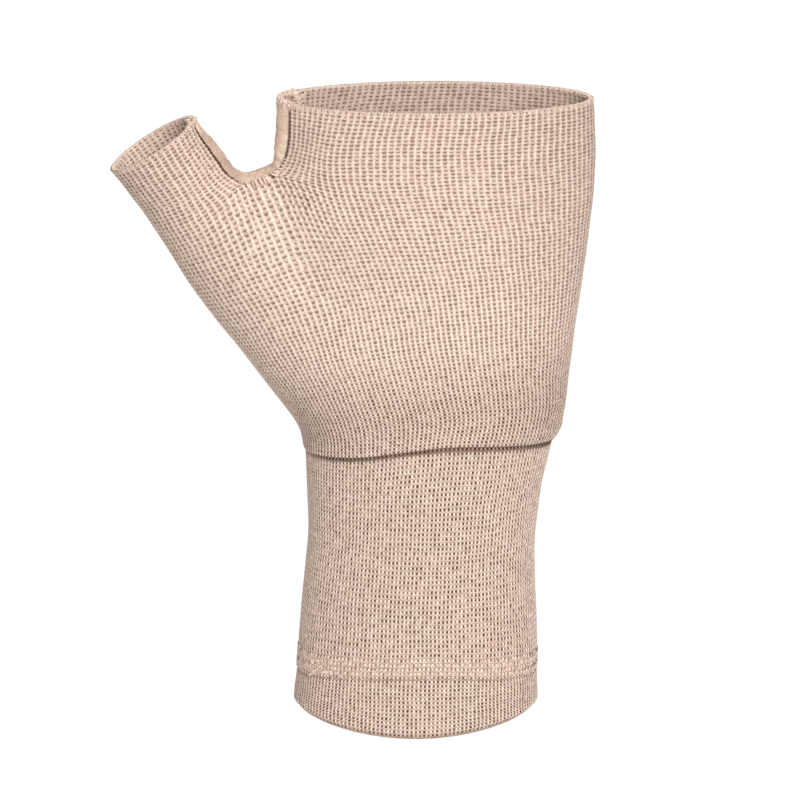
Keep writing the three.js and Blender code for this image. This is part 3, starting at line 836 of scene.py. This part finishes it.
def close_hand(hand):
    """Closes the lower edge, both openings and the notch's edge, front and back; the rims of the lower edge
    and the notch get painted shade.
    """
    lower = np.arange(ROUND)
    hand.close(0, lower, 1, lower, 0.25, 0.6, loop=True)
    hand_rim = np.arange(HAND_START, ROUND - HAND_START + 1)[::-1]
    thumb_rim = np.arange(THUMB_END, -THUMB_END - 1, -1) % ROUND
    for rim in (hand_rim, thumb_rim):
        hand.close(TOP, rim, TOP - 1, rim, 0.0)
    web = np.arange(THUMB_END, HAND_START + 1)
    for columns in (web[::-1], ROUND - web):
        hand.close(WEB, columns, WEB - 1, columns, 0.1, 0.9)
    upward = np.arange(WEB, TOP + 1)
    for rows, column, step in (
        (upward, THUMB_END, -1),
        (upward[::-1], HAND_START, 1),
        (upward, ROUND - HAND_START, -1),
        (upward[::-1], ROUND - THUMB_END, 1),
    ):
        hand.close(rows, column, rows, column + step, 0.1, 0.9)


def make_hand():
    """The hand piece, and its middle surface and normals for the threads that are sewn to it."""
    u, v = column_grid(0, TOP_ROW)
    base = hand_base(v[:, 0])
    keep = np.ones((TOP, ROUND), bool)
    keep[WEB:, THUMB_END:HAND_START] = False
    keep[WEB:, ROUND - HAND_START:ROUND - THUMB_END] = False
    near = notch_distance(u, v)
    rims = 1 - smoothstep(v, 0, 2) * (1 - smoothstep(v, TOP_ROW - 2, TOP_ROW))
    hold = np.maximum(1 - smoothstep(near, 0, 3), rims)
    wandered = wander(np.nan_to_num(base), u, v, 50, hold)
    base = np.where(hold[..., None] < 1, wandered, base)
    stretch = hand_stretch(u, v)
    relief, inner_relief = hand_relief(u, v, stretch, near), stitch_relief(u, v, stretch, 22)
    hand = Shell(base, u, v, stretch, relief, inner_relief, hand_shade(u, v, near), keep)
    close_hand(hand)
    return hand.build("hand_knit", KNIT), base, hand.normals


# ---- the strip in the notch ----

def strip_surface():
    """The strip's middle surface, tucked under the knit at both sides; each point's length along the notch
    and place across; and the half width."""
    lengths = np.linspace(0.2, NOTCH_LENGTHS[-1] - 0.2, 241)
    edge, bulge, into = notch_at(lengths)
    half = -edge[:, 1:2]
    y = np.linspace(1, -1, 61) * (half + 0.5)
    slope = 2 * bulge[:, None] / half
    past = (np.abs(y) - half).clip(0)
    tuck = 1.5 * smoothstep(np.abs(y), half - 0.3, half + 0.35)
    lean = 1 / np.sqrt(1 + slope ** 2)
    rise = bulge[:, None] * (1 - np.minimum(1, (y / half) ** 2)) - slope * past - tuck * lean - 0.1
    base = (edge * [1, 0, 1])[:, None] + into[:, None] * rise[..., None]
    base[..., 1] = y - np.sign(y) * tuck * lean * slope
    run, side = np.broadcast_arrays(lengths[:, None], y)
    return base, run, side, half


def strip_relief(run, side):
    """Soft lumps, and small creases that are deeper at the bottom of the notch."""
    creases = np.sin(2.3 * run + 0.5 * side + 2 * np.sin(0.4 * side)) * (0.03 + 0.06 * bell(run, 33, 6))
    phases = np.random.default_rng(7).uniform(0, 6.28, 6)
    lumps = sum(
        0.035 * np.sin((0.5 + 0.35 * k) * run + (0.9 - 0.3 * k) * side + phase)
        for k, phase in enumerate(phases)
    )
    return creases + lumps


def strip_shade(run, side, half):
    """Painted shade: dark in the groove beside the knit, and darker on the thumb than beside the hand."""
    groove = 0.95 * smoothstep(np.abs(side), half - 0.65, half - 0.3)
    on_thumb = smoothstep(run, 1, 5) * (1 - smoothstep(run, 19, 27))
    return groove + on_thumb * (0.27 + 0.16 * smoothstep(-side / half, -0.2, 0.8))


def make_strip():
    base, run, side, half = strip_surface()
    rows, columns = (np.arange(count) for count in run.shape)
    plain = np.zeros(run.shape)
    relief, shade = strip_relief(run, side), strip_shade(run, side, half)
    strip = Shell(base, side, run, plain, relief, plain, shade, wrap=False)
    strip.close(0, columns, 1, columns, 0.3)
    strip.close(rows[-1], columns[::-1], rows[-2], columns[::-1], 0.3)
    strip.close(rows[::-1], 0, rows[::-1], 1, 0.3)
    strip.close(rows, columns[-1], rows, columns[-2], 0.3)
    return strip.build("web_strip", STRIP)


# ---- threads ----

def arch(start, top, end):
    """A loop of thread from start over top to end."""
    t = np.linspace(0, 1, 9)[:, None]
    middle = 2 * top - (start + end) / 2
    return start * (1 - t) ** 2 + 2 * middle * t * (1 - t) + end * t * t


def make_threads(name, tubes, material=THREAD, sides=6, loop=False):
    """A piece of threads from their paths and thicknesses."""
    cloth = Cloth()
    for path, radius in tubes:
        cloth.add_tube(path, radius, sides, loop)
    return cloth.build(name, material)


def beside_notch(grid, steps, sign):
    """A grid's values along the notch's front (1) or back (-1) edge, or some mesh steps off it."""
    up = np.arange(WEB, TOP + 1)
    web = np.arange(THUMB_END + 1, HAND_START)
    rows = np.concatenate([up[::-1], np.full(len(web), WEB - steps), up])
    columns = np.concatenate([np.full(len(up), THUMB_END - steps), web, np.full(len(up), HAND_START + steps)])
    return grid[rows, columns if sign > 0 else ROUND - columns]


def front_loop(p, to_cloth, into, out, inward, lean, big):
    """A stitch's path over the notch's front edge at p, and its thickness."""
    start = p + to_cloth * (0.2 + 0.7 * big) + out * (0.1 + 0.15 * big)
    top = p + into * (0.1 + 0.3 * big) + out * (0.15 + 0.35 * big) + lean
    end = p + inward * (0.6 + 1.1 * big) + into * (0.1 + 0.15 * big) + 1.6 * lean
    return arch(start, top, end), 0.14 + 0.2 * big


def back_loop(p, to_cloth, into, out, inward, lean):
    """The same for the back edge, where all stitches are small."""
    start = p + to_cloth * 0.3 + out * 0.1
    top = p + out * 0.12 - into * 0.1 + lean
    end = p + inward * 0.5 - into * 0.05 + lean
    return arch(start, top, end), 0.14


def seam_loops(sign, base, normals, rng):
    """Overlock loops that hold one side of the strip, large in front round the bottom of the notch."""
    edge, knit, out = (beside_notch(g, k, sign) for g, k in ((base, 0), (base, 6), (normals, 2)))
    lengths = lengths_along(edge)
    into = notch_at(lengths * NOTCH_LENGTHS[-1] / lengths[-1])[2]
    inward = np.array([0, sign, 0])
    place = 2.0
    while place < lengths[-1] - 1.5:
        k = int(np.searchsorted(lengths, place))
        big = math.exp(-((place - 28) / 6) ** 2)
        place += 1.2 - 0.4 * big + rng.uniform(-0.12, 0.12)
        if sign > 0 and big < 0.12:
            continue  # the front stitches lie hidden in the groove
        lean = unit(edge[min(k + 1, len(edge) - 1)] - edge[k - 1]) * rng.uniform(-0.35, 0.35)
        where = edge[k], knit[k] - edge[k], into[k], out[k], inward, lean
        yield front_loop(*where, big) if sign > 0 else back_loop(*where)


def thumb_tangle(sign, rng):
    """A small tangle of thread loops where the strip ends at the thumb opening."""
    place, spread = np.array([-60.8, -2.0 * sign, 169.6]), np.array([0.9, 1.2, 0.8])
    for _ in range(9):
        start, end = (place + rng.uniform(-1, 1, 3) * spread for _ in range(2))
        top = (start + end) / 2 + rng.uniform(-0.3, 1.0, 3) * spread * 0.8
        yield arch(start, top, end), 0.18 * rng.uniform(0.8, 1.2)


def hand_tangle(sign, rng):
    """Overlock loops over half of the strip's end at the hand opening, and loose ones inside the corner."""
    x_edge, z_edge, half, bulge = NOTCH[-1]
    for _ in range(30):
        y = rng.uniform(-0.3, half + 0.2)
        ys = sign * (-y + rng.uniform(-0.6, 0.6, 3))
        x = x_edge - bulge * (1 - (y / half) ** 2)
        start = np.array([x + 0.05, ys[0], z_edge - rng.uniform(0.8, 2.2)])
        top = np.array([x + 0.6, ys[1], z_edge + rng.uniform(0.3, 0.7)])
        end = np.array([x + 1.6, ys[2], z_edge - rng.uniform(0.6, 1.8)])
        yield arch(start, top, end), 0.23
    corner, spread = np.array([x_edge + 2.3, -3.0 * sign, z_edge - 1.2]), np.array([1.6, 3.0, 0.9])
    for _ in range(26):
        start, end = (corner + rng.uniform(-1, 1, 3) * spread for _ in range(2))
        yield arch(start, (start + end) / 2 + rng.uniform(-0.3, 0.8, 3) * spread, end), 0.22


def opening_chain(base, normals, columns, rng):
    """The chained edge of an opening: a loop over every half wale."""
    rim, below, out = base[-1, columns], base[-3, columns], normals[-1, columns]
    for p, o, t in zip(rim, out, unit(rim - below)):
        along = np.cross(o, t) * rng.uniform(0.1, 0.5)
        middle = p - o * FABRIC / 2 - t * 0.3
        start = middle + o * 0.85 - t * 0.45 - along
        end = middle - o * 0.85 - t * 0.45 + along
        yield arch(start, middle + t * (0.35 + rng.uniform(-0.08, 0.08)), end), 0.22


def ring_at(columns, rows, lifts):
    """Points on the wrist tube at each column and row, lifted off the cloth."""
    points = []
    for column, row, lift in np.broadcast(columns, rows, lifts):
        column %= 2 * WALES
        share = half_column(column) / WALES
        near = wrist_half_row(row, np.array([max(0, share - 0.004), share, min(1, share + 0.004)]))
        out = unit(np.cross(near[2] - near[0], [0, 0, 1.0]))
        p = near[1] + out * lift
        points.append(p * [1, -1, 1] if column > WALES else p)
    return np.array(points)


def needle_line(row, rng):
    """Running stitches sunk in the hem's needle line."""
    for start in np.arange(0, 2 * WALES, 1.6):
        columns = start + np.array([0.0, 0.35, 0.8, 1.15, 1.35])
        lifts = np.array([-0.7, -0.4, -0.32, -0.4, -0.7])
        yield ring_at(columns, row + rng.uniform(-0.06, 0.06), lifts), 0.2


def looper_loops(rng):
    """Two rows of small V loops between the needle lines."""
    lower, upper = (HEM_LOWER_ROW + 0.6, HEM_LOWER_ROW + 2.6), (HEM_UPPER_ROW - 2.3, HEM_UPPER_ROW - 0.3)
    for (low, high), shift in ((lower, 0.0), (upper, 0.5)):
        columns = np.arange(0, 2 * WALES, 0.64)
        rows = np.where(np.arange(len(columns)) % 2 == 0, low, high) + rng.uniform(-0.2, 0.2, len(columns))
        middle_columns = columns + 0.4 + rng.uniform(-0.1, 0.1, len(columns))
        middle_rows = (rows + np.roll(rows, -1)) / 2
        both = np.stack([columns, middle_columns], axis=1).ravel() + shift
        both_rows = np.stack([rows, middle_rows], axis=1).ravel()
        yield ring_at(both, both_rows, 0.14), 0.18


def thread_end(rng):
    """Where the cover stitch ends: a few loose loops."""
    for _ in range(9):
        column, row = rng.uniform(9.5, 14.5), rng.uniform(14.3, 18.0)
        columns = column + rng.uniform(-1.2, 1.2, 3)
        rows = row + rng.uniform(-1.0, 1.0, 3)
        yield arch(*ring_at(columns, rows, (0.1, 0.5, 0.1))), 0.27


def lap_stitches():
    """The row of stitches that joins the two tubes, up under the hand piece's edge."""
    columns = np.arange(0, 2 * WALES, 0.5)
    rows = WRIST_ROWS + 0.4 + 0.15 * (np.arange(len(columns)) % 2)
    yield ring_at(columns, rows, 0.25), 0.2


# ---- the pieces and what they stand for ----

def replaced(piece, slot, *nodes):
    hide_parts(*nodes)
    return piece


def ride(piece, body, node):
    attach(replaced(piece, "thread", node), body)


def blend_heights(piece):
    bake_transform(piece)


def blend_thumb(piece):
    start, end = (tuple(THUMB_WAY * d * MM) for d in THUMB_BEND)
    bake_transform(piece)
    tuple(start)
    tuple(end)


lower = make_wrist_tube("wrist_knit_lower", 0, WRIST_SPLIT_ROW)
replaced(lower, "knit", "wrist_tube_cuff", "wrist_tube_lower_flex", "wrist_tube_middle")
blend_heights(lower)

upper = make_wrist_tube("wrist_knit_upper", WRIST_SPLIT_ROW, WRIST_ROWS + LAP_ROWS)
replaced(upper, "knit", "wrist_tube_upper_flex", "wrist_tube_top")
blend_heights(upper)

hem = make_wrist_tube("hem_layer", 1, HEM_UPPER_ROW + 1, inset=FABRIC + 0.35, thickness=0.9)
replaced(hem, "knit", "hem_band")
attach(hem, "forearm")

hand, base, normals = make_hand()
replaced(hand, "knit", "hand_sleeve", "thumb_sleeve_flex", "thumb_sleeve")
blend_thumb(hand)

strip = make_strip()
replaced(strip, "strip", "web_gusset")
blend_thumb(strip)

rng = np.random.default_rng(3)
for side, sign in (("front", 1), ("back", -1)):
    seam = make_threads("strip_" + side + "_seam", seam_loops(sign, base, normals, rng))
    replaced(seam, "thread", "gusset_" + side + "_seam")
    blend_thumb(seam)
    for part, tangle in (("thumb", thumb_tangle(sign, rng)), ("hand", hand_tangle(sign, rng))):
        ride(make_threads(part + "_" + side + "_tangle", tangle), part, part + "_" + side + "_knot")

HALF_WALE = FINE // 2
for part, first, last in (("hand", HAND_START, ROUND - HAND_START), ("thumb", -THUMB_END, THUMB_END)):
    columns = np.arange(first, last + 1, HALF_WALE) % ROUND
    chain = make_threads(part + "_opening_chain", opening_chain(base, normals, columns, rng))
    ride(chain, part, part + "_opening_edge")

for side, row in (("lower", HEM_LOWER_ROW), ("upper", HEM_UPPER_ROW)):
    line = make_threads("hem_" + side + "_needle_line", needle_line(row, rng))
    ride(line, "forearm", "hem_" + side + "_stitch")
looper = make_threads("hem_looper_loops", looper_loops(rng), sides=5, loop=True)
ride(looper, "forearm", "hem_looper_thread")
ride(make_threads("hem_thread_end", thread_end(rng)), "forearm", "hem_tack")
# the lap thread is drawn in the darker copy of the thread colour, painted shade for its groove
lap = make_threads("lap_thread", lap_stitches(), SHADED_THREAD, sides=5, loop=True)
ride(lap, "hand", "lap_seam_thread")


# ---- camera, light and floor (metres) ----

CAMERA_DISTANCE = 2.2
CAMERA_ELEVATION = math.radians(16.5)
CAMERA_TARGET = (-0.00454, 0, 0.0907)
CAMERA_LENS = 360  # mm, on a sensor 36 mm wide
LIGHT_TARGET = (0, 0, 0.09)
WORLD_LIGHT = 0.07
FLOOR_HEIGHT = -0.12  # below the sleeve, which hangs free in the picture
FLOOR_HALF_SIZE = 6
FLOOR_LIGHT = 1.03


def look_along(obj, way):
    obj.rotation_euler = way.to_track_quat("-Z", "Y").to_euler()


def add_camera():
    camera = new_object("camera", bpy.data.cameras.new("camera"))
    camera.data.lens = CAMERA_LENS
    camera.data.sensor_width = 36
    camera.data.clip_end = 20
    way = Vector((0, math.cos(CAMERA_ELEVATION), -math.sin(CAMERA_ELEVATION)))
    camera.location = Vector(CAMERA_TARGET) - way * CAMERA_DISTANCE
    look_along(camera, way)
    scene.camera = camera


def soft_box(name, place, size, power):
    light = bpy.data.lights.new(name, "AREA")
    light.shape = "RECTANGLE"
    light.size, light.size_y = size
    light.energy = power
    obj = new_object(name, light)
    obj.location = place
    look_along(obj, Vector(LIGHT_TARGET) - Vector(place))


def light_world():
    world = bpy.data.worlds.new("studio")
    scene.world = world
    world.use_nodes = True
    set_inputs(world.node_tree.nodes["Background"], {"Color": WHITE, "Strength": WORLD_LIGHT})
    scene.view_settings.view_transform = "Standard"


def white_floor():
    """A floor that shines white by itself, so that no shadow falls on it."""
    paper = bpy.data.materials.new("white_paper")
    paper.use_nodes = True
    shader = paper.node_tree.nodes["Principled BSDF"]
    set_inputs(shader, {"Base Color": BLACK, "Specular IOR Level": 0})
    set_inputs(shader, {"Emission Color": WHITE, "Emission Strength": FLOOR_LIGHT})
    mesh = bpy.data.meshes.new("floor")
    w = FLOOR_HALF_SIZE
    mesh.from_pydata([(-w, -w, 0), (w, -w, 0), (w, w, 0), (-w, w, 0)], [], [(0, 1, 2, 3)])
    mesh.materials.append(paper)
    floor = new_object("floor", mesh)
    floor.location = (0, 0, FLOOR_HEIGHT)
    return floor


add_camera()
soft_box("key_high_front", (0.4, -1.5, 1.35), (0.9, 0.9), 32.5)
soft_box("fill_front", (0.0, -2.2, 0.95), (1.0, 0.8), 14)
soft_box("top", (0.0, 0.1, 1.9), (1.0, 1.0), 11)
light_world()
white_floor()
